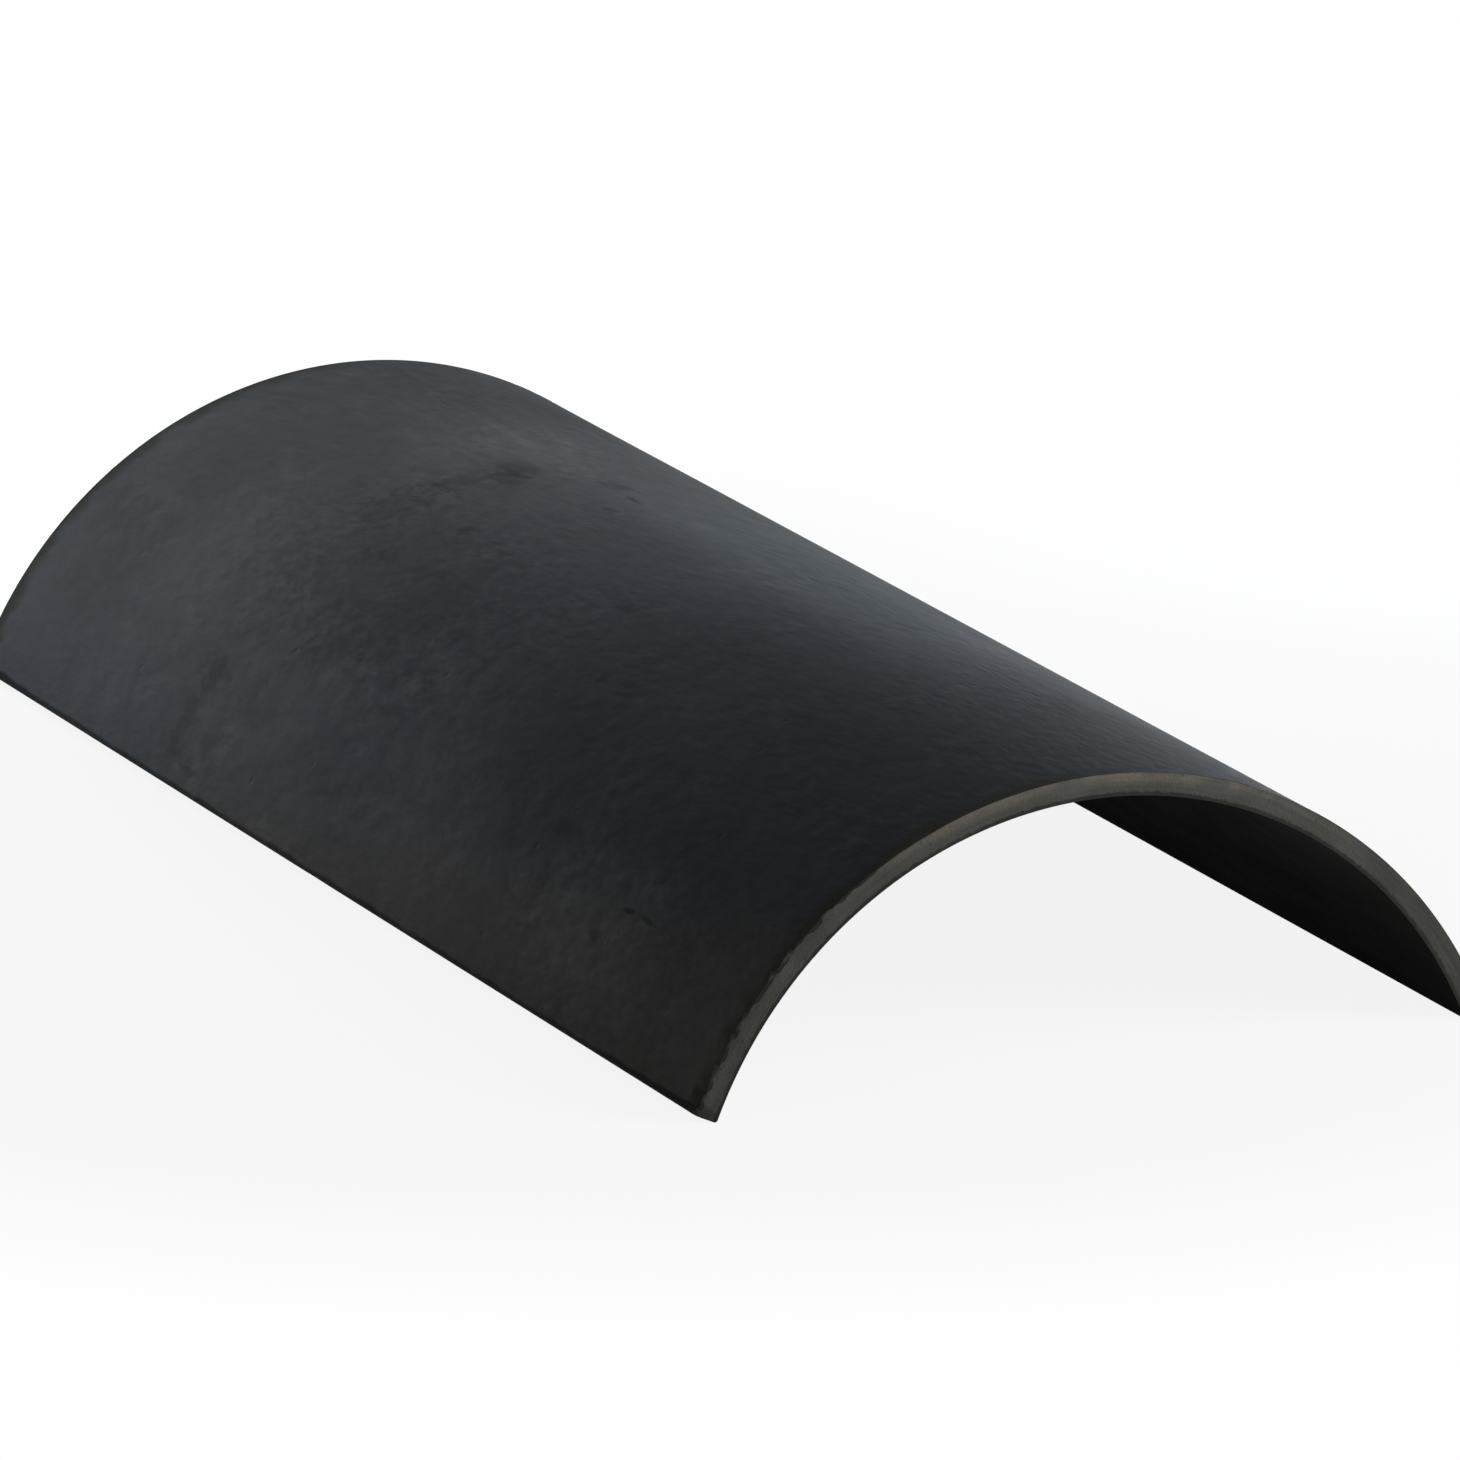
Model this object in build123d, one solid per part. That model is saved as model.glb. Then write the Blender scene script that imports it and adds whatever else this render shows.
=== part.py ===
"""Half-round ridge cap in fibre cement, one moulded piece that straddles the ridge of a slated roof.

A damp fibre cement sheet is bent over a round former and cures there, so the section is a ring sector
with one even wall. Its two long edges are cut square to the sheet before it is bent, so they point at
the centre of the curve and the cap stands on the lower arrises of its hollow side. Its two ends are
sawn square across the ridge line.

The ridge line runs along Y, X goes across the cap and Z is up. The origin is on the floor, under the
middle of the cap. Lengths are in millimetres and angles in degrees.
"""

import math
import os

from build123d import *

# Driving sizes of the cap. The width and the crown's rise are taken at the outer arrises, while these
# are still sharp. Together they set the circle that the sheet is bent to.
length = 400.0
outer_width = 190.0
crown_rise = 64.35
wall = 5.3

# The long arrises: paint and wear round the outer one more than the inner one.
outer_arris_radius = 1.0
inner_arris_radius = 0.6

# The arrises of the sawn ends are only eased.
end_arris_chamfer = 0.25

# The circle through both outer arrises and the crown. The half angle is counted from the crown.
half_width = outer_width / 2
outer_radius = (half_width**2 + crown_rise**2) / (2 * crown_rise)
inner_radius = outer_radius - wall
half_angle = 2 * math.degrees(math.atan(crown_rise / half_width))
crown_angle = 90.0


def centre_height():
    """Height of the curve's centre when the rounded inner arrises stand on the floor.

    The arris is a small circle that touches the hollow side and the cut edge. Its own centre sits an
    arris radius outside the hollow side and an arris radius above the line of the cut edge.
    """
    arris_circle_radius = inner_radius + inner_arris_radius
    angle_inside_edge = math.asin(inner_arris_radius / arris_circle_radius)
    arris_angle = math.radians(half_angle) - angle_inside_edge
    arris_centre_above_centre = arris_circle_radius * math.cos(arris_angle)
    return inner_arris_radius - arris_centre_above_centre


def wall_section():
    """The section as a face: two concentric arcs joined by two cut edges that point at their centre."""
    first_angle = crown_angle - half_angle
    outer_arc = CenterArc((0, 0), outer_radius, first_angle, 2 * half_angle)
    inner_arc = CenterArc((0, 0), inner_radius, first_angle, 2 * half_angle)
    right_edge = Line(inner_arc @ 0, outer_arc @ 0)
    left_edge = Line(inner_arc @ 1, outer_arc @ 1)
    return make_face([outer_arc, left_edge, inner_arc, right_edge])


def corners_from_the_centre(section):
    """The corners of a section, the nearest to the centre of the curve first."""
    return section.vertices().sort_by(lambda corner: math.hypot(corner.X, corner.Y))


def rounded_section():
    """The section with its outer pair of long arrises rounded, and its inner pair a little less."""
    section = wall_section()
    outer_pair = corners_from_the_centre(section)[-2:]
    section = fillet(outer_pair, outer_arris_radius)
    inner_pair = corners_from_the_centre(section)[:2]
    return fillet(inner_pair, inner_arris_radius)


def ridge_cap():
    """The whole cap: the section drawn out along the ridge line, with its end arrises eased."""
    across_the_ridge = Plane.XZ.offset(-length / 2)
    blank = extrude(across_the_ridge * rounded_section(), amount=length)
    blank = Pos(0, 0, centre_height()) * blank
    ends = blank.faces().filter_by(Axis.Y)
    end_edges = ends[0].edges() + ends[-1].edges()
    return chamfer(end_edges, end_arris_chamfer)


os.makedirs("parts", exist_ok=True)

cap = ridge_cap()
export_step(cap, "parts/ridge_cap.step")

box = cap.bounding_box()
print("outer radius", round(outer_radius, 2), "mm, half angle", round(half_angle, 2), "degrees")
print("rise from the floor to the crown", round(box.max.Z, 2), "mm")
print("low point", round(box.min.Z, 4), "width", round(box.size.X, 2), "length", round(box.size.Y, 2))
print("volume", round(cap.volume / 1000, 1), "cubic centimetres")
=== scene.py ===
# %% [markdown]
# # A half-round ridge cap in fibre cement
#
# The real cap is a damp sheet of fibre cement that was bent over a round former and cured there. It was
# sawn to length, and its outside got a dark matt coat. This lesson makes it in the same order: bend a
# sheet, give it its thickness, ease its arrises, saw and chip its ends, and coat it.
#
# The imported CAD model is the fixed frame. Everything here is in metres, in the frame of that model:
# the ridge line runs along Y, X goes across and Z is up.

# %% The frame
import math

import bmesh
import bpy
from mathutils import Matrix, Vector, noise


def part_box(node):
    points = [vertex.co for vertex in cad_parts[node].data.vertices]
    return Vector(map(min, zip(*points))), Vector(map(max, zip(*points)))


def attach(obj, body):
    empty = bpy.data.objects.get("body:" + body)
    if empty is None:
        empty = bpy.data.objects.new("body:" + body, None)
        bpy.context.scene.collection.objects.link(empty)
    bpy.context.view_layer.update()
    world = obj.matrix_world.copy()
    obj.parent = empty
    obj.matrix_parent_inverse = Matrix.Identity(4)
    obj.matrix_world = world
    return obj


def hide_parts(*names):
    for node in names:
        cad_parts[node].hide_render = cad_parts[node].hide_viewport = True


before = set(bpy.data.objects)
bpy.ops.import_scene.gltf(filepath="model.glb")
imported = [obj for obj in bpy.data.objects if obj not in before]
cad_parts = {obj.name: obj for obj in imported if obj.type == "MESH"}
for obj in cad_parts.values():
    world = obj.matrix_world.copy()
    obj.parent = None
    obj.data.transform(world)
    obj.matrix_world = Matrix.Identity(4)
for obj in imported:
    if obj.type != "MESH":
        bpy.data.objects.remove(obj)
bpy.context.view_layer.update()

# %% [markdown]
# ## The sizes of the cap
#
# The maker knows four sizes: the length, the width over the outer arrises, the rise of the crown over
# them, and the wall. The circle that the sheet is bent to follows from the width and the rise, by the
# same rule as in the CAD source.

# %% The sizes of the cap
length = 0.4
outer_width = 0.19
crown_rise = 0.06435
wall = 0.0053

half_width = outer_width / 2
outer_radius = (half_width**2 + crown_rise**2) / (2 * crown_rise)
inner_radius = outer_radius - wall
half_angle = 2 * math.atan(crown_rise / half_width)
half_length = length / 2

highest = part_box("ridge_cap")[1]
centre_height = highest.z - outer_radius
print("outer radius", round(outer_radius, 5), "half angle", round(math.degrees(half_angle), 2))
print("centre of the curve", round(centre_height, 5), "under the floor when negative")

# %% [markdown]
# ## The camera
#
# The photograph was taken from far away with a long lens, from the left and a little above. Its place
# was found by fitting the outline of the cap, so it is written as the angles and the distance that a
# photographer would note down.

# %% The camera
image_pixels = 1460
focal_pixels = 14686.1
sensor_width = 36.0
far_clip = 100.0
camera_azimuth = math.radians(-25.2554)
camera_elevation = math.radians(15.5812)
camera_roll = math.radians(0.0414)
camera_distance = 3.33555
camera_target = Vector((0.007246, 0.0, 0.024823))
straight_up = Vector((0.0, 0.0, 1.0))

backward = Vector((
    math.sin(camera_azimuth) * math.cos(camera_elevation),
    -math.cos(camera_azimuth) * math.cos(camera_elevation),
    math.sin(camera_elevation),
))
level_right = (-backward).cross(straight_up).normalized()
level_up = level_right.cross(-backward)
right = math.cos(camera_roll) * level_right + math.sin(camera_roll) * level_up
up = -math.sin(camera_roll) * level_right + math.cos(camera_roll) * level_up

camera_data = bpy.data.cameras.new("long_lens")
camera_data.sensor_width = sensor_width
camera_data.lens = focal_pixels * sensor_width / image_pixels
camera_data.clip_end = far_clip
camera = bpy.data.objects.new("camera", camera_data)
turn = Matrix((right, up, backward)).transposed().to_4x4()
camera.matrix_world = Matrix.Translation(camera_target + camera_distance * backward) @ turn
bpy.context.scene.collection.objects.link(camera)
bpy.context.scene.camera = camera
bpy.context.scene.view_settings.view_transform = "Standard"
print("lens", round(camera_data.lens, 1), "mm at", [round(value, 3) for value in camera.location])

# %% [markdown]
# ## Sums with sockets
#
# A material is a sum of patterns, and a sum is easier to read as an expression than as a list of nodes.
# A `Field` holds one output socket, and the usual signs on it add Math nodes. A `Finish` is a node tree:
# its one method, `node`, adds any other node, with its settings first and then its sockets.

# %% Sums with sockets
class Field:
    """One value that changes over a surface, as the output socket that carries it."""

    def __init__(self, finish, socket):
        self.finish = finish
        self.socket = socket

    def math(self, operation, *terms):
        return self.finish.node("ShaderNodeMath", {"operation": operation}, dict(enumerate(terms)))

    def __add__(self, other):
        return self.math("ADD", self, other)

    def __radd__(self, other):
        return self.math("ADD", other, self)

    def __sub__(self, other):
        return self.math("SUBTRACT", self, other)

    def __rsub__(self, other):
        return self.math("SUBTRACT", other, self)

    def __mul__(self, other):
        return self.math("MULTIPLY", self, other)

    def __rmul__(self, other):
        return self.math("MULTIPLY", other, self)

    def __abs__(self):
        return self.math("ABSOLUTE", self)

    def also(self, output):
        """Another output of the same node."""
        return Field(self.finish, self.socket.node.outputs[output])

    def ramp(self, low, high):
        """0 where the value is at `low`, 1 at `high`, and a soft step between them."""
        settings = {"interpolation_type": "SMOOTHSTEP"}
        sockets = {"Value": self, "From Min": low, "From Max": high}
        if low > high:
            sockets.update({"From Min": high, "From Max": low, "To Min": 1.0, "To Max": 0.0})
        return self.finish.node("ShaderNodeMapRange", settings, sockets)


class Finish:
    """A node tree that a surface takes its looks from."""

    def __init__(self, tree):
        self.tree = tree
        self.tree.nodes.clear()

    def node(self, kind, settings=None, sockets=None):
        """Adds a node, makes its settings, then fills its sockets with values or links."""
        made = self.tree.nodes.new(kind)
        for name, value in (settings or {}).items():
            setattr(made, name, value)
        for name, value in (sockets or {}).items():
            if isinstance(value, Field):
                self.tree.links.new(value.socket, made.inputs[name])
            else:
                made.inputs[name].default_value = value
        return Field(self, made.outputs[0]) if len(made.outputs) else None


def new_finish(name):
    """A material with an empty node tree: gives the material and its Finish."""
    material = bpy.data.materials.new(name)
    material.use_nodes = True
    return material, Finish(material.node_tree)


print("the signs add Math nodes, and Finish.node adds the rest")

# %% [markdown]
# ## The floor
#
# The photograph is a cut-out on white, so a plain pale floor stands in for it. Through Light Path, the
# camera sees most of it as plain white. Near the cap a share of it stays a real matt floor, so the
# shadow of the cap lies on it, softly, and further off it fades into plain white. The light that the
# floor throws up at the cap is its own. Gloss sees only a share of the white, because a dark coat that
# mirrored all of it would look grey.

# %% The floor
floor_radius = 12.0
floor_sides = 64
floor_gap = 0.0001
floor_colour = (0.8, 0.8, 0.8, 1.0)
white = (1.0, 1.0, 1.0, 1.0)
white_share_near = 0.88
floor_in_gloss = 0.6
near_floor = 0.24
far_floor = 0.40

floor_shape = bmesh.new()
bmesh.ops.create_circle(floor_shape, cap_ends=True, segments=floor_sides, radius=floor_radius)
bmesh.ops.translate(floor_shape, verts=floor_shape.verts, vec=(0, 0, -floor_gap))
floor_mesh = bpy.data.meshes.new("floor")
floor_shape.to_mesh(floor_mesh)
floor_shape.free()
floor = bpy.data.objects.new("floor", floor_mesh)
bpy.context.scene.collection.objects.link(floor)


def seen_directly(finish, gloss_share):
    """1 for rays from the camera and through glass, and a share of the rays off gloss."""
    camera_ray = finish.node("ShaderNodeLightPath")
    glass_ray = camera_ray.also("Is Transmission Ray")
    gloss_ray = camera_ray.also("Is Glossy Ray") * gloss_share
    return camera_ray.math("MAXIMUM", camera_ray.math("MAXIMUM", camera_ray, glass_ray), gloss_ray)


floor_material, ground = new_finish("pale_floor")
matt = ground.node("ShaderNodeBsdfDiffuse", sockets={"Color": floor_colour})
glow = ground.node("ShaderNodeEmission", sockets={"Color": white, "Strength": 1.0})
distance = ground.node("ShaderNodeTexCoord").also("Object")
distance = ground.node("ShaderNodeVectorMath", {"operation": "LENGTH"}, {0: distance}).also("Value")
white_share = white_share_near + (1.0 - white_share_near) * distance.ramp(near_floor, far_floor)
share = seen_directly(ground, floor_in_gloss) * white_share
both = ground.node("ShaderNodeMixShader", sockets={0: share, 1: matt, 2: glow})
ground.node("ShaderNodeOutputMaterial", sockets={"Surface": both})
floor_mesh.materials.append(floor_material)
print("floor", 2 * floor_radius, "m across, all white from", far_floor, "m outwards")

# %% [markdown]
# ## The room
#
# The world does two jobs. To the camera it is the white ground above the horizon. To everything else it
# is a dim, even room light, weak enough that the dark coat keeps its colour.

# %% The room
room_strength = 0.16
sky_in_gloss = 0.1

world = bpy.data.worlds.new("studio")
bpy.context.scene.world = world
world.use_nodes = True
sky = Finish(world.node_tree)
room = sky.node("ShaderNodeBackground", sockets={"Color": white, "Strength": room_strength})
backdrop = sky.node("ShaderNodeBackground", sockets={"Color": white, "Strength": 1.0})
share = seen_directly(sky, sky_in_gloss)
both = sky.node("ShaderNodeMixShader", sockets={0: share, 1: room, 2: backdrop})
sky.node("ShaderNodeOutputWorld", sockets={"Surface": both})
print("room light", room_strength)

# %% [markdown]
# ## The lamps
#
# A large soft box stands at the front right and lights the sawn end and the floor. The dark coat shows
# little of it. What the coat does show, at a glancing angle, is what stands low beside and behind it, so
# three dim soft boxes stand there as a photographer's white cards, a little cool. The one close behind
# the left leg makes the far end of the flank lighter and cooler than the near end, and the other two
# make the bright strip beside the crown.

# %% The lamps
lamp_target = Vector((0.0, 0.1, 0.03))
neutral = (1.0, 1.0, 1.0)
daylight = (0.87, 0.94, 1.0)
pale_daylight = (0.92, 0.965, 1.0)

# The name of each soft box, its place, its side in metres, its power in watts and its colour.
soft_boxes = [
    ("key", (0.8, -0.8, 0.65), 0.6, 10.0, neutral),
    ("card_beside", (0.35, 0.22, 0.08), 0.2, 0.66, pale_daylight),
    ("card_close_behind", (-0.10, 0.34, 0.08), 0.2, 0.50, daylight),
    ("card_far_behind", (0.22, 0.68, 0.34), 0.3, 0.78, pale_daylight),
]

for name, place, side, power, colour in soft_boxes:
    lamp_data = bpy.data.lights.new(name, "AREA")
    lamp_data.shape = "SQUARE"
    lamp_data.size = side
    lamp_data.energy = power
    lamp_data.color = colour
    lamp = bpy.data.objects.new(name, lamp_data)
    lamp.location = place
    lamp.rotation_euler = (lamp_target - Vector(place)).to_track_quat("-Z", "Y").to_euler()
    lamp.visible_camera = False
    bpy.context.scene.collection.objects.link(lamp)
print(len(soft_boxes), "soft boxes, the first is the key")

# %% [markdown]
# ## Bend the sheet
#
# The sheet could be drawn as part of a cylinder, but a spin is nearer to the former that the real sheet
# is bent over. One straight line, as long as the cap, is turned about the centre of the curve, from the
# left cut edge over the crown to the right one. The line has close points near its ends, where the saw
# chips the coat, and wide ones between them, because a straight line needs few. The first and the last
# step of the turn are wider than the others, to leave room for the rounding of the long arrises.

# %% Bend the sheet
end_zone = 0.005
next_zone = 0.016
end_zone_cuts = 9
next_zone_cuts = 6
middle_cuts = 72
edge_step = 0.0018
bend_steps = 318

cap_shape = bmesh.new()
stations = [-half_length, end_zone - half_length, next_zone - half_length]
stations += [-station for station in reversed(stations)]
centre = Vector((0, 0, centre_height))
left_corner = centre + Matrix.Rotation(-half_angle, 3, "Y") @ Vector((0, 0, outer_radius))
line = [cap_shape.verts.new(left_corner + Vector((0, station, 0))) for station in stations]
spans = [cap_shape.edges.new(pair) for pair in zip(line, line[1:])]
span_cuts = [end_zone_cuts, next_zone_cuts, middle_cuts, next_zone_cuts, end_zone_cuts]
for span, cuts in zip(spans, span_cuts):
    bmesh.ops.subdivide_edges(cap_shape, edges=[span], cuts=cuts)

edge_turn = edge_step / outer_radius
moving = cap_shape.verts[:] + cap_shape.edges[:]
for angle, steps in ((edge_turn, 1), (2 * (half_angle - edge_turn), bend_steps), (edge_turn, 1)):
    turned = bmesh.ops.spin(cap_shape, geom=moving, cent=centre, axis=(0, 1, 0), angle=angle, steps=steps)
    moving = turned["geom_last"]
bmesh.ops.recalc_face_normals(cap_shape, faces=cap_shape.faces)
if sum(face.normal.z for face in cap_shape.faces) < 0:
    bmesh.ops.reverse_faces(cap_shape, faces=cap_shape.faces)
reach = [vert.co.x for vert in cap_shape.verts]
print("sheet of", len(cap_shape.faces), "faces, from", round(min(reach), 5), "to", round(max(reach), 5))

# %% [markdown]
# ## Give it its wall
#
# Solidify moves a copy of the sheet along its normals, which point away from the centre of the curve.
# So the wall is even, and the long edges come out square to the sheet, as they were cut before bending.
# The last points turn a hair, because their normals come from flat faces, so they are trued up.

# %% Give it its wall
bmesh.ops.solidify(cap_shape, geom=cap_shape.faces[:], thickness=wall)


def polar(place):
    """Where a point lies in the section: its angle from the crown and its distance from the centre."""
    across = place.x
    above = place.z - centre_height
    return math.atan2(across, above), math.hypot(across, above)


touching = 1e-5
for side in (-1, 1):
    inside_edge = []
    for vert in cap_shape.verts:
        angle, radius = polar(vert.co)
        if abs(side * half_angle - angle) < edge_turn / 2 and radius < outer_radius - touching:
            inside_edge.append(vert)
    off_line = side * half_angle - polar(inside_edge[0].co)[0]
    true_up = Matrix.Rotation(off_line, 3, "Y")
    bmesh.ops.rotate(cap_shape, cent=centre, matrix=true_up, verts=inside_edge)

cubic_centimetres = 1e6
radii = [polar(vert.co)[1] for vert in cap_shape.verts]
volume = cap_shape.calc_volume(signed=True) * cubic_centimetres
print("wall from", round(min(radii), 5), "to", round(max(radii), 5), "from the centre of the curve")
print("volume", round(volume, 1), "cubic centimetres")

# %% [markdown]
# ## Ease the arrises
#
# A bevel with several segments rounds an edge. The long outer arrises are rounded the most, by the
# coat and by handling, the inner ones less, and the arrises of the sawn ends are only just broken.

# %% Ease the arrises
outer_arris = 0.001
inner_arris = 0.0006
end_arris = 0.00025
outer_arris_segments = 4
inner_arris_segments = 3
end_arris_segments = 2
middle_radius = (outer_radius + inner_radius) / 2

# The least part of an edge or a normal that lies along Y when it counts as running that way.
along_ridge = 0.9


def at_end(vert):
    return abs(abs(vert.co.y) - half_length) < touching


def at_long_edge(vert):
    return abs(abs(polar(vert.co)[0]) - half_angle) < edge_turn / 4


def arris_edges(outside):
    """The edges of the two long arrises, on the outside or on the inside of the cap."""
    found = []
    for edge in cap_shape.edges:
        along = edge.verts[1].co - edge.verts[0].co
        runs_along = abs(along.y) > along_ridge * along.length
        on_side = all((polar(vert.co)[1] > middle_radius) == outside for vert in edge.verts)
        if runs_along and on_side and all(at_long_edge(vert) for vert in edge.verts):
            found.append(edge)
    return found


def ease(edges, size, segments):
    bmesh.ops.bevel(
        cap_shape,
        geom=edges,
        offset=size,
        segments=segments,
        profile=0.5,
        affect="EDGES",
        material=-1,
    )


ease(arris_edges(True), outer_arris, outer_arris_segments)
ease(arris_edges(False), inner_arris, inner_arris_segments)
end_edges = []
for edge in cap_shape.edges:
    facing_end = [abs(face.normal.y) > along_ridge for face in edge.link_faces]
    if all(at_end(vert) for vert in edge.verts) and facing_end.count(True) == 1:
        end_edges.append(edge)
ease(end_edges, end_arris, end_arris_segments)
print("eased", len(end_edges), "edges round the two ends, now", len(cap_shape.faces), "faces")

# %% [markdown]
# ## Rows across the sawn ends
#
# Each end is a ring of narrow faces, one across the wall. The relief of the sawn cement needs points
# inside the wall, so the edges that cross it are divided.

# %% Rows across the sawn ends
row_cuts = 8
crossing = []
for edge in cap_shape.edges:
    across_wall = abs(polar(edge.verts[0].co)[1] - polar(edge.verts[1].co)[1])
    if all(at_end(vert) for vert in edge.verts) and across_wall > wall / 2:
        if len(edge.link_faces) == 2 and all(len(face.verts) == 4 for face in edge.link_faces):
            crossing.append(edge)
bmesh.ops.subdivide_edges(cap_shape, edges=crossing, cuts=row_cuts, use_grid_fill=True)
print(len(crossing), "edges divided, now", len(cap_shape.faces), "faces")

# %% [markdown]
# ## Words for the relief
#
# Nothing on the real cap is quite even, and all that is uneven follows its surface. So each point is
# first put in a maker's terms: the way round the arc from the crown, the place along the ridge line, the
# depth under the outer face, and how far it is from the sawn end and from the long edge. Two small
# helpers do the rest: a smooth noise on the surface, and a straight rise from 0 to 1. The noise has the
# same value each time for the same place and seed, so the relief is the same in every run.

# %% Words for the relief
class Spot:
    """A point of the cap in a maker's terms: lengths in metres, and its angle from the crown."""

    def __init__(self, co):
        self.angle, radius = polar(co)
        self.around = self.angle * outer_radius
        self.place = co.y
        self.depth = outer_radius - radius
        self.from_end = half_length - abs(co.y)
        self.from_long_edge = (half_angle - abs(self.angle)) * outer_radius


def pattern(across, along, size, stretch=1.0, seed=0.0):
    """Smooth noise from -1 to 1 on the surface, as large as `size` across and `stretch` times that along."""
    return noise.noise(Vector((across / size, along / (size * stretch), seed)))


def rising(value, low, high):
    return min(1.0, max(0.0, (value - low) / (high - low)))


left_arris = Spot(left_corner)
print("the left outer arris lies", round(-left_arris.around, 4), "m round from the crown")

# %% [markdown]
# ## Relief of the pressed faces
#
# The wall was pressed between a felt and the former, so both faces are very gently wavy, with a fine
# felt texture. The function below says how far that moves a point. Here and in the next steps a point
# only ever moves into the wall, so the cap stays in the box of the CAD model.

# %% Relief of the pressed faces
wave_depth = 0.00010
wave_size = 0.045
wave_stretch = 1.6
felt_depth = 0.00003
felt_size = 0.004
felt_stretch = 5.0
relief_fade = 0.004


def pressed(spot):
    """How far the waves and the felt move a point towards the centre of the curve. Minus is away from it."""
    if spot.from_end <= end_arris or spot.from_long_edge <= outer_arris:
        return 0.0
    wave = 0.5 + 0.5 * pattern(spot.around, spot.place, wave_size, wave_stretch)
    felt = 0.5 + 0.5 * pattern(spot.around, spot.place, felt_size, felt_stretch, seed=2.0)
    free = rising(spot.from_long_edge, outer_arris, relief_fade)
    relief = free * (wave_depth * wave + felt_depth * felt)
    if spot.depth < touching:
        return relief
    return -relief if spot.depth > wall - touching else 0.0


print("waves and felt of", round(1000 * (wave_depth + felt_depth), 3), "mm at most")

# %% [markdown]
# ## Relief of the sawn ends and the rubbed arrises
#
# The saw left the cement of the ends rough, in thin layers that follow the arc and with grit, so a point
# of a sawn face moves back from the end. The long outer arrises are rubbed down a little, in some places
# more than in others.

# %% Relief of the sawn ends and the rubbed arrises
layer_depth = 0.00010
layer_size = 0.0011
layer_stretch = 14.0
grit_depth = 0.00009
grit_size = 0.0009
grit_stretch = 1.3
rub_depth = 0.00006
rub_size = 0.006
rub_mean = 0.6
rub_swing = 0.4


def sawn(spot):
    """How far the layers and the grit lie back from a sawn end."""
    if spot.from_end >= touching:
        return 0.0
    layer = 0.5 + 0.5 * pattern(spot.depth, spot.around, layer_size, layer_stretch, seed=4.0)
    grit = 0.5 + 0.5 * pattern(spot.depth, spot.around, grit_size, grit_stretch, seed=6.0)
    return layer_depth * layer + grit_depth * grit


def rubbed(spot):
    """How far a long outer arris is rubbed down."""
    if spot.depth >= wall / 2:
        return 0.0
    near = rising(outer_arris - spot.from_long_edge, 0.0, outer_arris)
    return near * rub_depth * (rub_mean + rub_swing * pattern(0.0, spot.place, rub_size, seed=8.0))


print("saw marks of", round(1000 * (layer_depth + grit_depth), 3), "mm at most")

# %% [markdown]
# ## Flakes
#
# The saw broke flakes out of the coat along the outer arris of each end, most of all low down on the
# left leg of the front end. A flake is a slanted break across the arris, longer on the coat than on the
# sawn face. A point is in it when its distance from the sawn face plus twice its depth below the coat is
# less than the size of the flake there, and then it moves in until that sum is the size.
#
# The flakes on the left leg of the front end are the ones in the photograph: each grows up the leg and
# stops short at its upper end, like a tooth. The others come from the noise. The inner arris has flakes
# of half the size. The last two functions give three numbers each: how far a point moves inwards, how
# far it moves back from the end, and how bare of coat it is.

# %% Flakes
flake_size = 0.0028
flake_depth = 0.0008
flake_slope = 2.0
flake_rarity = 0.45
flake_patch_size = 12 * flake_size
flake_patch_lift = 0.55
inner_flake_share = 0.5
inner_flake_shift = 0.3

# Where each flake of the front left leg ends at its top, how far it runs down the leg, and its size.
leg_flakes = [
    (-0.0682, 0.0040, 0.0010),
    (-0.0806, 0.0046, 0.0013),
    (-0.0868, 0.0018, 0.0020),
    (-0.0971, 0.0050, 0.0015),
    (-0.1024, 0.0042, 0.0014),
    (-0.1096, 0.0056, 0.0017),
    (-0.1168, 0.0030, 0.0010),
]


def flake(around, front):
    """How far the coat is broken back from a sawn end's outer arris, at a place along the arc."""
    fine = pattern(around, 0.0, flake_size, seed=3.0) + 0.5 * pattern(around, 0.0, flake_size / 3, seed=5.0)
    patch = pattern(around, 0.0, flake_patch_size, seed=7.0 if front else 9.0)
    size = flake_depth * max(0.0, fine - flake_rarity + flake_patch_lift * patch)
    if front:
        for top, run, full_size in leg_flakes:
            down = (top - around) / run
            if 0.0 <= down < 1.0:
                size = max(size, full_size * (1.0 - down))
    return size


def outer_flake(spot):
    short = flake(spot.around, spot.place < 0) - flake_slope * spot.depth - spot.from_end
    if short <= 0:
        return 0.0, 0.0, 0.0
    return short / (2 * flake_slope), short / 2, 1.0


def inner_flake(spot):
    size = inner_flake_share * flake(spot.around + inner_flake_shift, spot.place < 0)
    short = size - flake_slope * (wall - spot.depth) - spot.from_end
    if short <= 0:
        return 0.0, 0.0, 0.0
    return -short / (2 * flake_slope), short / 2, 1.0


print(len(leg_flakes), "flakes placed by hand on the front left leg")

# %% [markdown]
# ## Chips and nicks
#
# The outer corner of each foot is knocked off, each by a different amount, and small knocks took nicks
# out of the long outer arrises. A chip is nearly flat: what lies beyond a plane across the corner moves
# back to it, a little more or less from place to place. Both functions give the same three numbers as
# those for the flakes.

# %% Chips and nicks
# The size of the chip at each foot, by its side and its end: minus is left, and front.
foot_chips = {(-1, -1): 0.0034, (1, -1): 0.0016, (-1, 1): 0.0022, (1, 1): 0.0027}
foot_rough_depth = 0.0008
foot_rough_size = 0.0015
foot_bare = 0.45
nick_size = 0.0045
nick_depth = 0.0007
nick_rarity = 0.55
nick_patch_size = 9 * nick_size
nick_bare_from = 0.6
nick_bare_full = 0.75
side_seed = 5.0


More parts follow.
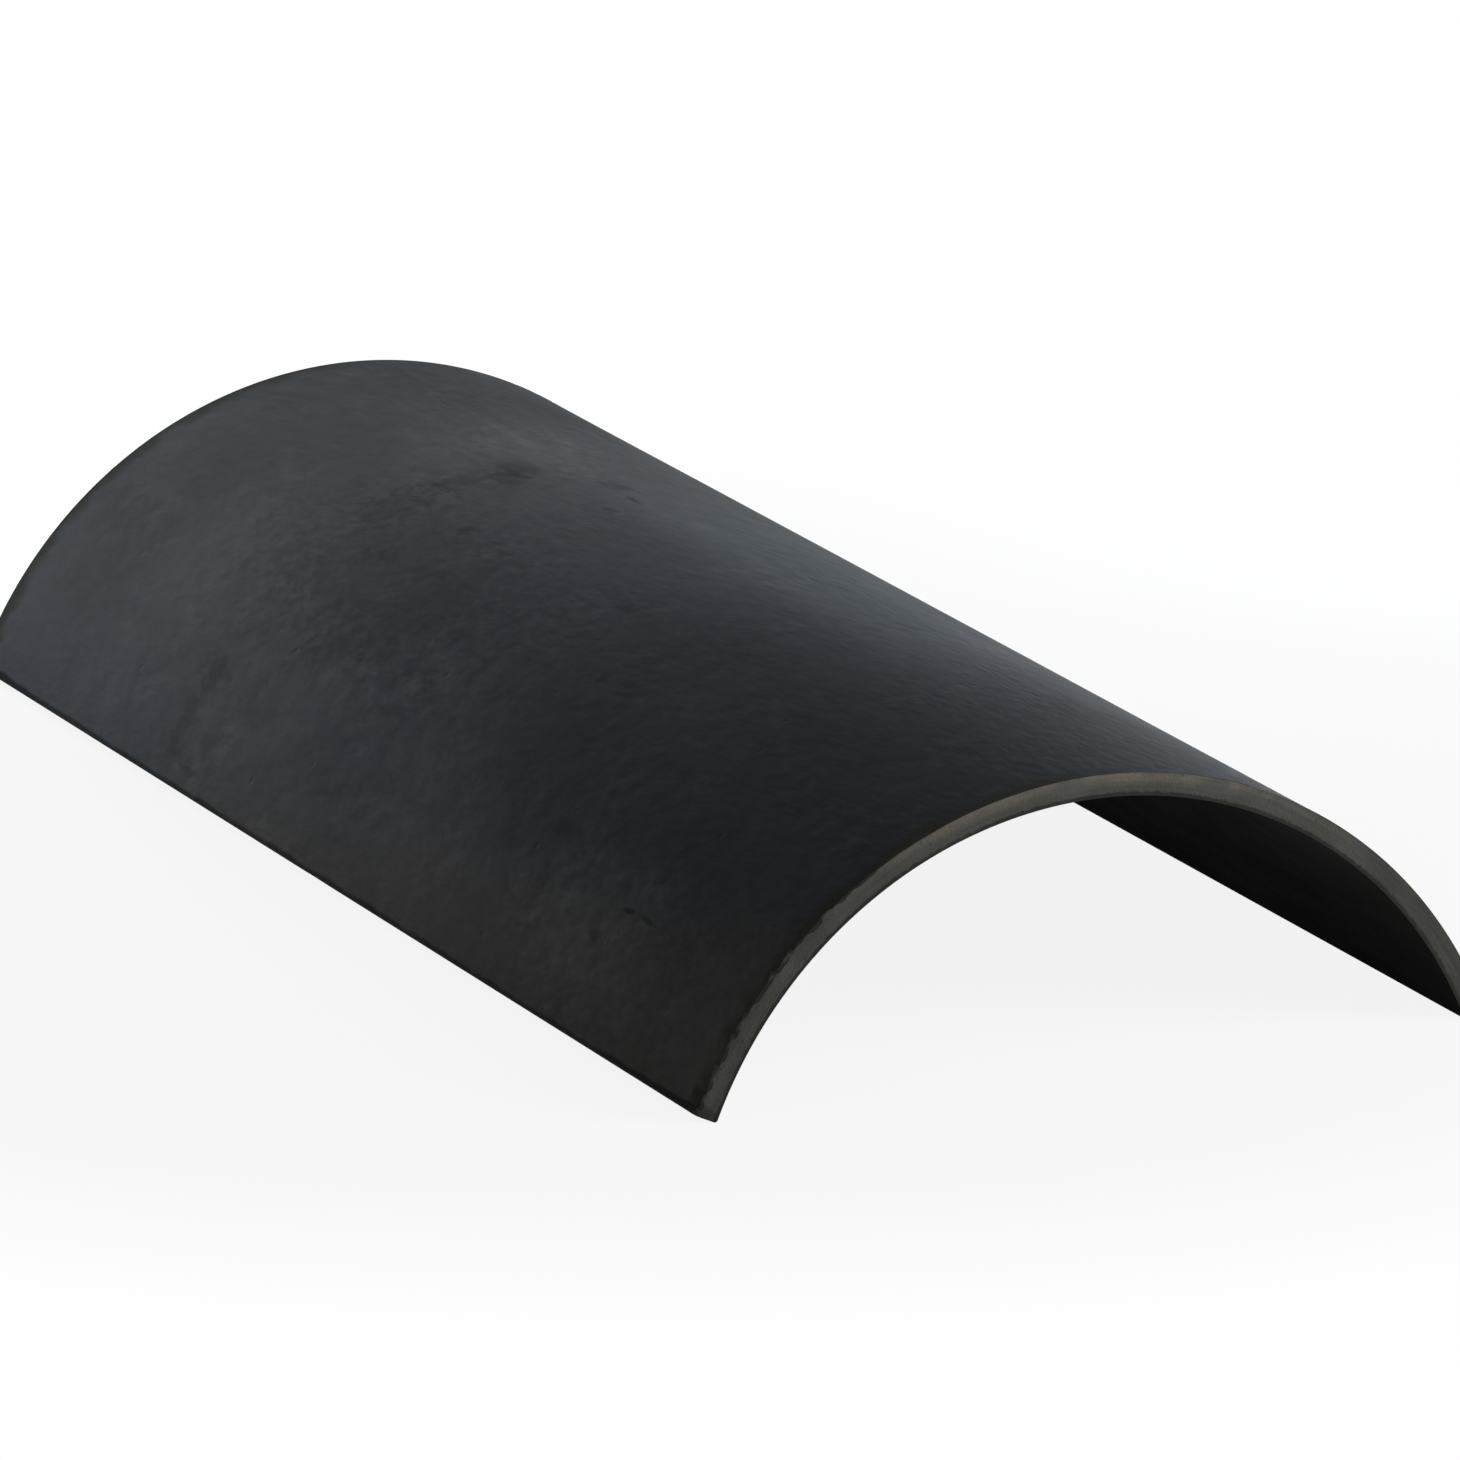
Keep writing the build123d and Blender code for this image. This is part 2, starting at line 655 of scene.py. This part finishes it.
def foot_chip(spot):
    size = foot_chips[math.copysign(1, spot.angle), math.copysign(1, spot.place)]
    size += foot_rough_depth * pattern(spot.around, 0.0, foot_rough_size, seed=11.0)
    short = size - spot.depth - spot.from_end - spot.from_long_edge
    if short <= 0:
        return 0.0, 0.0, 0.0
    return short / 2, short / 2, foot_bare


def nick(spot):
    seed = math.copysign(side_seed, spot.angle)
    knock = pattern(0.0, spot.place, nick_size, seed=seed)
    knock += 0.6 * pattern(0.0, spot.place, nick_patch_size, seed=seed)
    size = outer_arris + nick_depth * max(0.0, knock - nick_rarity)
    short = size - spot.depth - spot.from_long_edge
    if short <= 0 or knock <= nick_rarity:
        return 0.0, 0.0, 0.0
    return short, 0.0, rising(knock, nick_bare_from, nick_bare_full)


chip_sizes = sorted(round(1000 * size, 2) for size in foot_chips.values())
print("chips at the feet:", chip_sizes, "mm")

# %% [markdown]
# ## Take the material away
#
# Every point moves by the sum of what touches it there. How bare it is goes into an attribute on the
# points, which the materials read later.

# %% Take the material away
bare_layer = cap_shape.verts.layers.float.new("bare")
broken = 0
for vert in cap_shape.verts:
    spot = Spot(vert.co)
    inwards = pressed(spot) + rubbed(spot)
    back = sawn(spot)
    bare = 0.0
    for broken_by in (outer_flake, inner_flake, foot_chip, nick):
        more_inwards, more_back, how_bare = broken_by(spot)
        inwards += more_inwards
        back += more_back
        bare = max(bare, how_bare)
    outwards = Vector((math.sin(spot.angle), 0.0, math.cos(spot.angle)))
    vert.co -= outwards * inwards
    vert.co.y -= math.copysign(back, spot.place)
    vert[bare_layer] = bare
    broken += bare > 0 and spot.from_end > touching
print(broken, "points beside the sawn faces in flakes, chips and nicks")

# %% [markdown]
# ## The finished piece
#
# The faces with many sides at the four corners are cut into triangles. Then the mesh goes into an
# object at the origin, which rides on the cap's one body and stands for its CAD solid.

# %% The finished piece
sharp_angle = math.radians(50)
busy_faces = [face for face in cap_shape.faces if len(face.verts) > 4]
bmesh.ops.triangulate(cap_shape, faces=busy_faces)
for face in cap_shape.faces:
    face.smooth = True

cap_mesh = bpy.data.meshes.new("half_round_cap")
cap_shape.to_mesh(cap_mesh)
cap_shape.free()
cap_mesh.set_sharp_from_angle(angle=sharp_angle)
cap = bpy.data.objects.new("half_round_cap", cap_mesh)
bpy.context.scene.collection.objects.link(cap)
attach(cap, "root")
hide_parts("ridge_cap")
print("the cap has", sum(len(face.vertices) - 2 for face in cap_mesh.polygons), "triangles")

# %% [markdown]
# ## Where a point lies on the cap
#
# Every pattern on the cap follows its surface, as its relief does: across is the way round the arc from
# the crown, along is the place on the ridge line, and depth is how far a point lies under the outer
# face. They are worked out from Object coordinates, so the patterns stay on the cap in every view.

# %% Where a point lies on the cap
class Surface:
    """The cap's own directions, as fields of a finish."""

    def __init__(self, finish):
        self.finish = finish
        coordinates = finish.node("ShaderNodeTexCoord").also("Object")
        x = finish.node("ShaderNodeSeparateXYZ", sockets={0: coordinates})
        above = x.also("Z") - centre_height
        radius = x.math("SQRT", x * x + above * above)
        self.along = x.also("Y")
        self.across = x.math("ARCTAN2", x, above) * outer_radius
        self.depth = outer_radius - radius
        self.from_end = half_length - abs(self.along)
        self.from_long_edge = half_angle * outer_radius - abs(self.across)
        directions = {0: self.across, 1: self.along, 2: self.depth}
        self.place = finish.node("ShaderNodeCombineXYZ", sockets=directions)
        self.bare = finish.node("ShaderNodeAttribute", {"attribute_name": "bare"}).also("Fac")

    def mapped(self, size, shift=0.0):
        """The place on the surface, in units of `size`: its lengths across, along and in depth."""
        return self.finish.node("ShaderNodeMapping", sockets={
            "Vector": self.place,
            "Location": (shift, shift, shift),
            "Scale": [1 / part for part in size],
        })

    def noise(self, across, along=None, depth=None, detail=2.0, shift=0.0):
        """Noise from -0.5 to 0.5, with lumps of the given size. One size alone gives round lumps."""
        size = (across, along or across, depth or across)
        sockets = {"Vector": self.mapped(size, shift), "Scale": 1.0, "Detail": detail}
        return self.finish.node("ShaderNodeTexNoise", sockets=sockets) - 0.5

    def pits(self, spacing, share, size, shift=0.0):
        """1 in small round pits. Only a share of the cells has one, and `size` is its part of a cell."""
        sockets = {"Vector": self.mapped((spacing, spacing, spacing), shift), "Scale": 1.0}
        distance = self.finish.node("ShaderNodeTexVoronoi", sockets=sockets)
        lot = self.finish.node("ShaderNodeSeparateColor", sockets={0: distance.also("Color")})
        return distance.ramp(size, size / 3) * lot.ramp(1 - share, 1.01 - share)


print("across, along and depth are ready")

# %% [markdown]
# ## Helpers for colours
#
# A Math node would turn a colour grey, so colours go through Vector Math and Mix. The Mix node has one
# set of sockets for each kind of value, so its colour sockets are taken by their number.

# %% Helpers for colours
mix_share = 0
mix_first_colour = 6
mix_second_colour = 7
mixed_colour = 2


def shaded(colour, value):
    """A colour made lighter or darker by a value that changes over the surface."""
    return value.finish.node("ShaderNodeVectorMath", {"operation": "SCALE"}, {0: colour, "Scale": value})


def mixed(share, first, second):
    """The first colour where the share is 0, the second where it is 1."""
    sockets = {mix_share: share, mix_first_colour: first, mix_second_colour: second}
    return share.finish.node("ShaderNodeMix", {"data_type": "RGBA"}, sockets).also(mixed_colour)


def bumped(height, depth):
    """A normal for a height field that is about `depth` metres deep."""
    return height.finish.node("ShaderNodeBump", sockets={"Distance": depth, "Height": height})


def finished(finish, **sockets):
    """Ends a finish with its shader. An underscore in a name stands for a space."""
    skin = finish.node("ShaderNodeBsdfPrincipled", sockets={
        name.replace("_", " "): value for name, value in sockets.items()
    })
    finish.node("ShaderNodeOutputMaterial", sockets={"Surface": skin})


print("colours can be shaded and mixed")

# %% [markdown]
# ## The colour of bare cement
#
# Where the saw went through, the cement itself shows: olive grey, in thin layers that follow the arc,
# with pale patches, grit and pores. The outer layers are warmer than the inner ones near the crown, and
# the legs are darker low down. The same colour shows where a flake, a chip or a nick took the coat off.

# %% The colour of bare cement
cement_warm = (0.158, 0.147, 0.118, 1.0)
cement_grey = (0.080, 0.080, 0.069, 1.0)
cement_pale = (0.090, 0.095, 0.087, 1.0)
low_leg_darkening = 0.22

# Sizes of the lumps in each pattern.
cement_layer_run = 0.022
cement_layer_thickness = 0.0008
cement_cloud_size = 0.010
cement_patch_size = 0.007
cement_grit_size = 0.0006

# Pores: how far apart the cells lie, the share of them that has a pore, and its part of the cell.
pores_in_cement = (0.0019, 0.2, 0.22)

# Where each change starts and where it is full: on the way from the crown to a foot, in the depth of the
# wall, and in the attribute that says how bare a point is.
warm_near_crown = (0.080, 0.020)
warm_outer_layers = (0.65 * wall, 0.1 * wall)
low_leg_darkening_ramp = (0.04, 0.10)
bare_ramp = (0.3, 0.7)


def cement_colour(on):
    layers = on.noise(cement_layer_run, depth=cement_layer_thickness, detail=3.0)
    cloud = on.noise(cement_cloud_size, shift=4.0)
    patches = on.noise(cement_patch_size, shift=12.0)
    grit = on.noise(cement_grit_size, detail=3.0, shift=2.0)
    leg = abs(on.across)
    outer_layer = on.depth.ramp(*warm_outer_layers) * leg.ramp(*warm_near_crown)
    colour = mixed(outer_layer + 0.5 * cloud, cement_grey, cement_warm)
    colour = mixed(0.8 * patches.ramp(-0.05, 0.20), colour, cement_pale)
    light = 1.0 + 0.55 * layers + 0.45 * cloud + 0.40 * grit
    # The cement is made darker towards the feet of the legs.
    light = light * (1.0 - low_leg_darkening * leg.ramp(*low_leg_darkening_ramp))
    # The pores darken the cement's colour as painted shade in them.
    return shaded(colour, light * (1.0 - 0.3 * on.pits(*pores_in_cement)))


def bared(on, colour):
    """A colour with that of bare cement wherever a flake, a chip or a nick is."""
    return mixed(on.bare.ramp(*bare_ramp), colour, cement_colour(on))


print("layers of", round(1000 * cement_layer_thickness, 2), "mm in the cement")

# %% [markdown]
# ## The sawn ends
#
# On the left leg the coat runs a little way over the arris onto the sawn face and ends there in a
# ragged line, and elsewhere only as a thin rim. The inner arris has a dark rim too.
# Both are mixed in by depth, and not where a flake has taken the coat off the outer arris.

# %% The sawn ends
coat_black = (0.012, 0.012, 0.010, 1.0)
leg_overrun = 0.0009
leg_overrun_place = (-0.030, -0.080)
thin_overrun = 0.0002
thin_overrun_place = (0.01, -0.04)
overrun_tooth = 0.0055
endless = 1.0
outer_rim_blur = 0.00012
inner_rim_wander = 0.0012
inner_rim_size = 0.0020
inner_rim_width = (0.0013, 0.0006)
sawn_rough_size = 0.0007
sawn_layer_run = 0.02
sawn_bump = 0.00012

cement_material, cement = new_finish("sawn_cement")
on = Surface(cement)
teeth = on.noise(overrun_tooth, endless, endless, detail=1.0, shift=3.0).ramp(-0.06, 0.06)
overrun = leg_overrun * on.across.ramp(*leg_overrun_place) * (1.0 - 0.7 * teeth)
overrun = overrun + thin_overrun * on.across.ramp(*thin_overrun_place)
outer_rim = (on.depth - overrun).ramp(outer_rim_blur, -outer_rim_blur) * (1.0 - on.bare)
inner_rim = (wall - on.depth + inner_rim_wander * on.noise(inner_rim_size)).ramp(*inner_rim_width)
rims = 0.85 * outer_rim + 0.75 * inner_rim
relief = on.noise(sawn_rough_size, detail=4.0)
relief = relief + 0.6 * on.noise(sawn_layer_run, depth=sawn_rough_size) - 0.5 * on.pits(*pores_in_cement)
finished(
    cement,
    Base_Color=mixed(rims, cement_colour(on), coat_black),
    Roughness=0.9,
    Specular_IOR_Level=0.25,
    Normal=bumped(relief, sawn_bump),
)
print("the coat runs over the arris of the left leg by", round(1000 * leg_overrun, 2), "mm at most")

# %% [markdown]
# ## Marks on the coat
#
# The clearest dull and pale marks in the photograph are listed, from small dashes to a faint cloud as
# long as a hand. A mark is an oval with a soft border, and noise breaks that border up, because a clean
# oval would look painted on.

# %% Marks on the coat
# Each mark: its place across and along, half its size across and along, and how dull. Minus is paler.
# The dark marks are dull spots in the coat together with painted shade in shallow dents, and the small pale
# ones beside them are painted glints.
marks = [
    (-0.0042, 0.0905, 0.0040, 0.0072, 0.17),
    (-0.0096, 0.0850, 0.0040, 0.0060, 0.13),
    (-0.0197, 0.0921, 0.0070, 0.0055, 0.08),
    (-0.0344, 0.0917, 0.0100, 0.0080, 0.07),
    (-0.0313, 0.0604, 0.0018, 0.0030, 0.13),
    (-0.0510, 0.0763, 0.0024, 0.0044, 0.07),
    (-0.0479, 0.0689, 0.0024, 0.0044, 0.06),
    (0.0104, 0.0683, 0.0026, 0.0056, 0.15),
    (0.0085, 0.0543, 0.0012, 0.0030, 0.20),
    (-0.0012, 0.0465, 0.0016, 0.0034, 0.12),
    (-0.0277, -0.0192, 0.0020, 0.0036, 0.09),
    (-0.0914, -0.1325, 0.0006, 0.0028, 0.30),
    (-0.0911, -0.1425, 0.0006, 0.0030, 0.28),
    (-0.0999, -0.1260, 0.0015, 0.0022, 0.12),
    (-0.0871, -0.1251, 0.0014, 0.0026, 0.10),
    (-0.0832, -0.0887, 0.0022, 0.0060, 0.08),
    (-0.0500, 0.0500, 0.0220, 0.0550, 0.09),
    (0.0360, 0.1520, 0.0090, 0.0240, 0.10),
    (0.0090, 0.1100, 0.0150, 0.0240, -0.10),
    (-0.1000, -0.1300, 0.0180, 0.0300, -0.09),
    (-0.0124, 0.1340, 0.0016, 0.0056, -0.07),
    (-0.0158, 0.1190, 0.0022, 0.0036, -0.05),
    (-0.0383, 0.0812, 0.0020, 0.0032, -0.05),
    (-0.0253, 0.0214, 0.0014, 0.0028, -0.08),
    (-0.0504, -0.0994, 0.0009, 0.0055, -0.08),
    (-0.0940, 0.0895, 0.0036, 0.0060, 0.09),
    (-0.1040, 0.0910, 0.0048, 0.0040, 0.07),
    (-0.1125, 0.0920, 0.0024, 0.0050, 0.08),
    (-0.1162, 0.0790, 0.0009, 0.0048, 0.16),
    (-0.1168, 0.0860, 0.0007, 0.0024, -0.14),
    (-0.1175, -0.1972, 0.0016, 0.0026, 0.40),
]
mark_fades_from = 1.5
mark_full_within = 0.4
mark_break = 3.0


def marked(on, border_noise):
    """All the marks added up: dull spots, painted dent shade and painted glints. The noise breaks up their
    borders.
    """
    total = None
    for across, along, half_across, half_along, dark in marks:
        right_of = (on.across - across) * (1 / half_across)
        beyond = (on.along - along) * (1 / half_along)
        distance = right_of.math("SQRT", right_of * right_of + beyond * beyond)
        mark = dark * (distance + mark_break * border_noise).ramp(mark_fades_from, mark_full_within)
        total = mark if total is None else total + mark
    return total


print(len(marks), "marks placed by hand")

# %% [markdown]
# ## Patterns in the coat
#
# The coat is cloudy over a hand's width, mottled by the felt that it was pressed on, and covered with
# short dashes along the ridge line. It is livelier in some patches than in others, and calmer at the
# far end of the left flank. A cell pattern adds pits.

# %% Patterns in the coat
# Sizes of the lumps across and along, or one size for round ones.
mottle_size = (0.0055, 0.0080)
fine_felt_size = (0.0020, 0.0052)
dash_size = (0.0044, 0.0100)
coat_grain_size = 0.0007
cloud_size = (0.045, 0.060)
lively_patch_size = 0.028
mark_border_size = (0.0024, 0.0040)

# Pits: how far apart the cells lie, the share of them that has a pit, and its part of the cell.
pits_in_coat = (0.011, 0.25, 0.11)

coat_material, coat = new_finish("matt_anthracite_coat")
on = Surface(coat)
mottle = on.noise(*mottle_size, detail=2.0)
felt = on.noise(*fine_felt_size, detail=1.0, shift=5.0)
dashes = on.noise(*dash_size, detail=1.0, shift=9.0)
grain = on.noise(coat_grain_size, detail=2.0, shift=8.0)
cloud = on.noise(*cloud_size, detail=2.0, shift=1.0)
patchy = on.noise(lively_patch_size, detail=2.0, shift=6.0).ramp(-0.08, 0.15)
# The pits darken the coat's colour as painted shade in them, and the bump sinks them.
pits = on.pits(*pits_in_coat)
dull_and_dent_shade = marked(on, on.noise(*mark_border_size, detail=3.0, shift=3.0))
print("patterns and marks of", len(coat.tree.nodes), "nodes")

# %% [markdown]
# ## Where the coat changes
#
# Over its whole length the coat isn't one colour. Part of it is painted light: the middle is painted
# lighter than the ends, the near part of the left flank is darker with painted shade, and a painted sheen
# runs along the crown. It is paler again just above the left long edge. Low down on that side it is
# browner, most of all near the camera, from dust and handling. Each of these is a mask from 0 to 1, and
# each ramp below says where its change starts and where it is full. The clouds push the borders that
# would show to and fro, so they don't look ruled.

# %% Where the coat changes
border_wander = 0.04
flank_top_wander = 0.02
brown_wander = 0.03
brown_far_wander = 0.10
middle_near_ramp = (-0.19, 0.04)
middle_far_ramp = (0.20, 0.10)
flank_top_ramp = (0.010, -0.030)
flank_bottom_ramp = (-0.105, -0.065)
near_flank_ramp = (0.05, -0.06)
crown_left_ramp = (-0.005, 0.012)
crown_right_ramp = (0.046, 0.032)
crown_near_ramp = (-0.15, -0.06)
crown_far_ramp = (0.11, 0.02)
low_edge_ramp = (-0.092, -0.114)
brown_ramp = (-0.090, -0.120)
brown_far_ramp = (0.115, 0.080)
brown_slant = 0.148
calm_along_ramp = (0.04, 0.14)
calm_across_ramp = (-0.010, -0.040)

along_or_so = on.along + border_wander * cloud
lit_middle = along_or_so.ramp(*middle_near_ramp) * along_or_so.ramp(*middle_far_ramp)
left_flank = (on.across + flank_top_wander * cloud).ramp(*flank_top_ramp)
left_flank = left_flank * on.across.ramp(*flank_bottom_ramp)
shaded_near_left = left_flank * along_or_so.ramp(*near_flank_ramp)
crown_sheen = on.across.ramp(*crown_left_ramp) * on.across.ramp(*crown_right_ramp)
crown_sheen = crown_sheen * on.along.ramp(*crown_near_ramp) * on.along.ramp(*crown_far_ramp)
low_edge = on.across.ramp(*low_edge_ramp)
brown = (on.across + brown_slant * on.along + brown_wander * cloud).ramp(*brown_ramp)
brown = brown * (on.along + brown_far_wander * cloud).ramp(*brown_far_ramp)
calm = on.along.ramp(*calm_along_ramp) * on.across.ramp(*calm_across_ramp)
lively = 1.0 - 0.5 * calm
print("at mid length the coat turns browner", round(-1000 * brown_ramp[0]), "mm round from the crown")

# %% [markdown]
# ## The edges of the coat
#
# Along the long edges a thin dark line of painted shade runs, for the shadow at the rounded arrises, a
# little wider and darker beside the feet, and the coat is a little rougher there. Beside the sawn ends,
# left of the crown, it has an olive tinge from cement dust.

# %% The edges of the coat
edge_line_ramp = (0.0019, 0.0009)
edge_line_wander = 0.0014
edge_line_at_foot = 0.0005
foot_ramp = (0.050, 0.008)
end_band_ramp = (0.0065, 0.0005)
end_band_wander = 0.012
end_band_side_ramp = (0.020, -0.020)

near_foot = on.from_end.ramp(*foot_ramp)
# The dark line along the long edges is painted shade, for the shadow at the rounded arrises.
edge_shade_and_dullness = on.from_long_edge + edge_line_wander * dashes - edge_line_at_foot * near_foot
edge_shade_and_dullness = edge_shade_and_dullness.ramp(*edge_line_ramp)
end_band = (on.from_end + end_band_wander * mottle).ramp(*end_band_ramp)
end_band = end_band * on.across.ramp(*end_band_side_ramp)
print("the dark line is", round(1000 * edge_line_ramp[0], 2), "mm wide where nothing pushes it")

# %% [markdown]
# ## The anthracite coat
#
# The coat is nearly black with a cool cast, a little bluer in its near half. Its colour, its roughness
# and a slight bump all take the same patterns. So a dull mark is darker and rougher, and the middle and
# the crown, which are painted paler as painted light and sheen, are also a little smoother.

# %% The anthracite coat
coat_cool = (0.0165, 0.0216, 0.0268, 1.0)
coat_blue = (0.0145, 0.0212, 0.0298, 1.0)
coat_brown = (0.0290, 0.0262, 0.0240, 1.0)
coat_olive = (0.0150, 0.0150, 0.0070, 1.0)
blue_ramp = (0.12, -0.04)
coat_bump = 0.00022

# Painted light: lighter middle, painted shade on the near left flank, painted sheen on the crown.
light = 0.75 + 0.62 * lit_middle - 0.30 * shaded_near_left + 0.50 * crown_sheen + 0.35 * low_edge
uneven = 0.30 * cloud + (0.30 + 0.30 * patchy) * mottle
uneven = uneven + (0.36 + 0.22 * patchy) * felt + 0.50 * dashes + 0.08 * grain
# The marks darken the coat as dull spots and as painted dent shade; negative ones are painted glints.
light = (light + lively * uneven) * (1.0 - 1.2 * dull_and_dent_shade) * (1.0 - 0.25 * pits)
# Painted shade along the long edges, darker beside the feet.
light = light * (1.0 - (0.75 + 0.20 * near_foot) * edge_shade_and_dullness)

colour = mixed(on.along.ramp(*blue_ramp), coat_cool, coat_blue)
colour = mixed(brown + 0.15 * cloud.ramp(0.05, 0.25), colour, coat_brown)
colour = shaded(colour, light)
colour = bared(on, mixed(0.85 * end_band, colour, coat_olive))

roughness = 0.80 - 0.06 * lit_middle + 0.08 * shaded_near_left - 0.06 * crown_sheen
roughness = roughness + lively * (0.20 * cloud + (0.10 + 0.20 * patchy) * mottle) + 0.6 * dull_and_dent_shade
roughness = roughness + 0.15 * (end_band + edge_shade_and_dullness) + 0.15 * near_foot * edge_shade_and_dullness
relief = 0.5 * mottle + (0.5 + 0.4 * patchy) * felt + 0.6 * dashes + 0.20 * grain - 0.3 * pits
finished(
    coat,
    Base_Color=colour,
    Roughness=roughness,
    Specular_IOR_Level=0.25,
    Normal=bumped(relief, coat_bump),
)
print("coat of", len(coat.tree.nodes), "nodes")

# %% [markdown]
# ## The underside
#
# The hollow side lay on the former. It is smoother than the outside, and its colour is painted far darker
# as painted shade under the arch, with a few dull smears along the ridge line.

# %% The underside
underside_shaded = (0.0062, 0.0062, 0.0058, 1.0)
underside_dull = (0.0100, 0.0096, 0.0085, 1.0)
smear_size = (0.006, 0.030)
smear_patch_size = 0.03
underside_grain_size = (0.0012, 0.004)
former_mark_size = (0.0015, 0.006)
underside_bump = 0.00012

underside_material, underside = new_finish("former_side")
on = Surface(underside)
smears = on.noise(*smear_size, detail=3.0)
smeared = (smears + 0.6 * on.noise(smear_patch_size)).ramp(0.08, 0.35)
# Both underside colours are painted dark, as painted shade under the arch.
colour = mixed(smeared, underside_shaded, underside_dull)
colour = shaded(colour, 1.0 + 0.3 * on.noise(*underside_grain_size))
finished(
    underside,
    Base_Color=bared(on, colour),
    Roughness=0.85 + 0.2 * smears,
    Specular_IOR_Level=0.02,
    Normal=bumped(on.noise(*former_mark_size) + 0.5 * smears, underside_bump),
)
print("underside", underside_shaded[:3])

# %% [markdown]
# ## Which face has which finish
#
# A face that looks along the ridge line is sawn cement. Of the rest, what lies close to the hollow side
# is the underside, and the outside has the coat, with most of the two long cut edges.

# %% Which face has which finish
sawn_slant = 0.5
finishes = [coat_material, underside_material, cement_material]
for material in finishes:
    cap_mesh.materials.append(material)
for face in cap_mesh.polygons:
    if abs(face.normal.y) > sawn_slant:
        face.material_index = finishes.index(cement_material)
    elif polar(face.center)[1] < inner_radius + inner_arris:
        face.material_index = finishes.index(underside_material)
chosen = [face.material_index for face in cap_mesh.polygons]
counts = [chosen.count(index) for index in range(len(finishes))]
print("faces with the coat, the underside and bare cement:", counts)
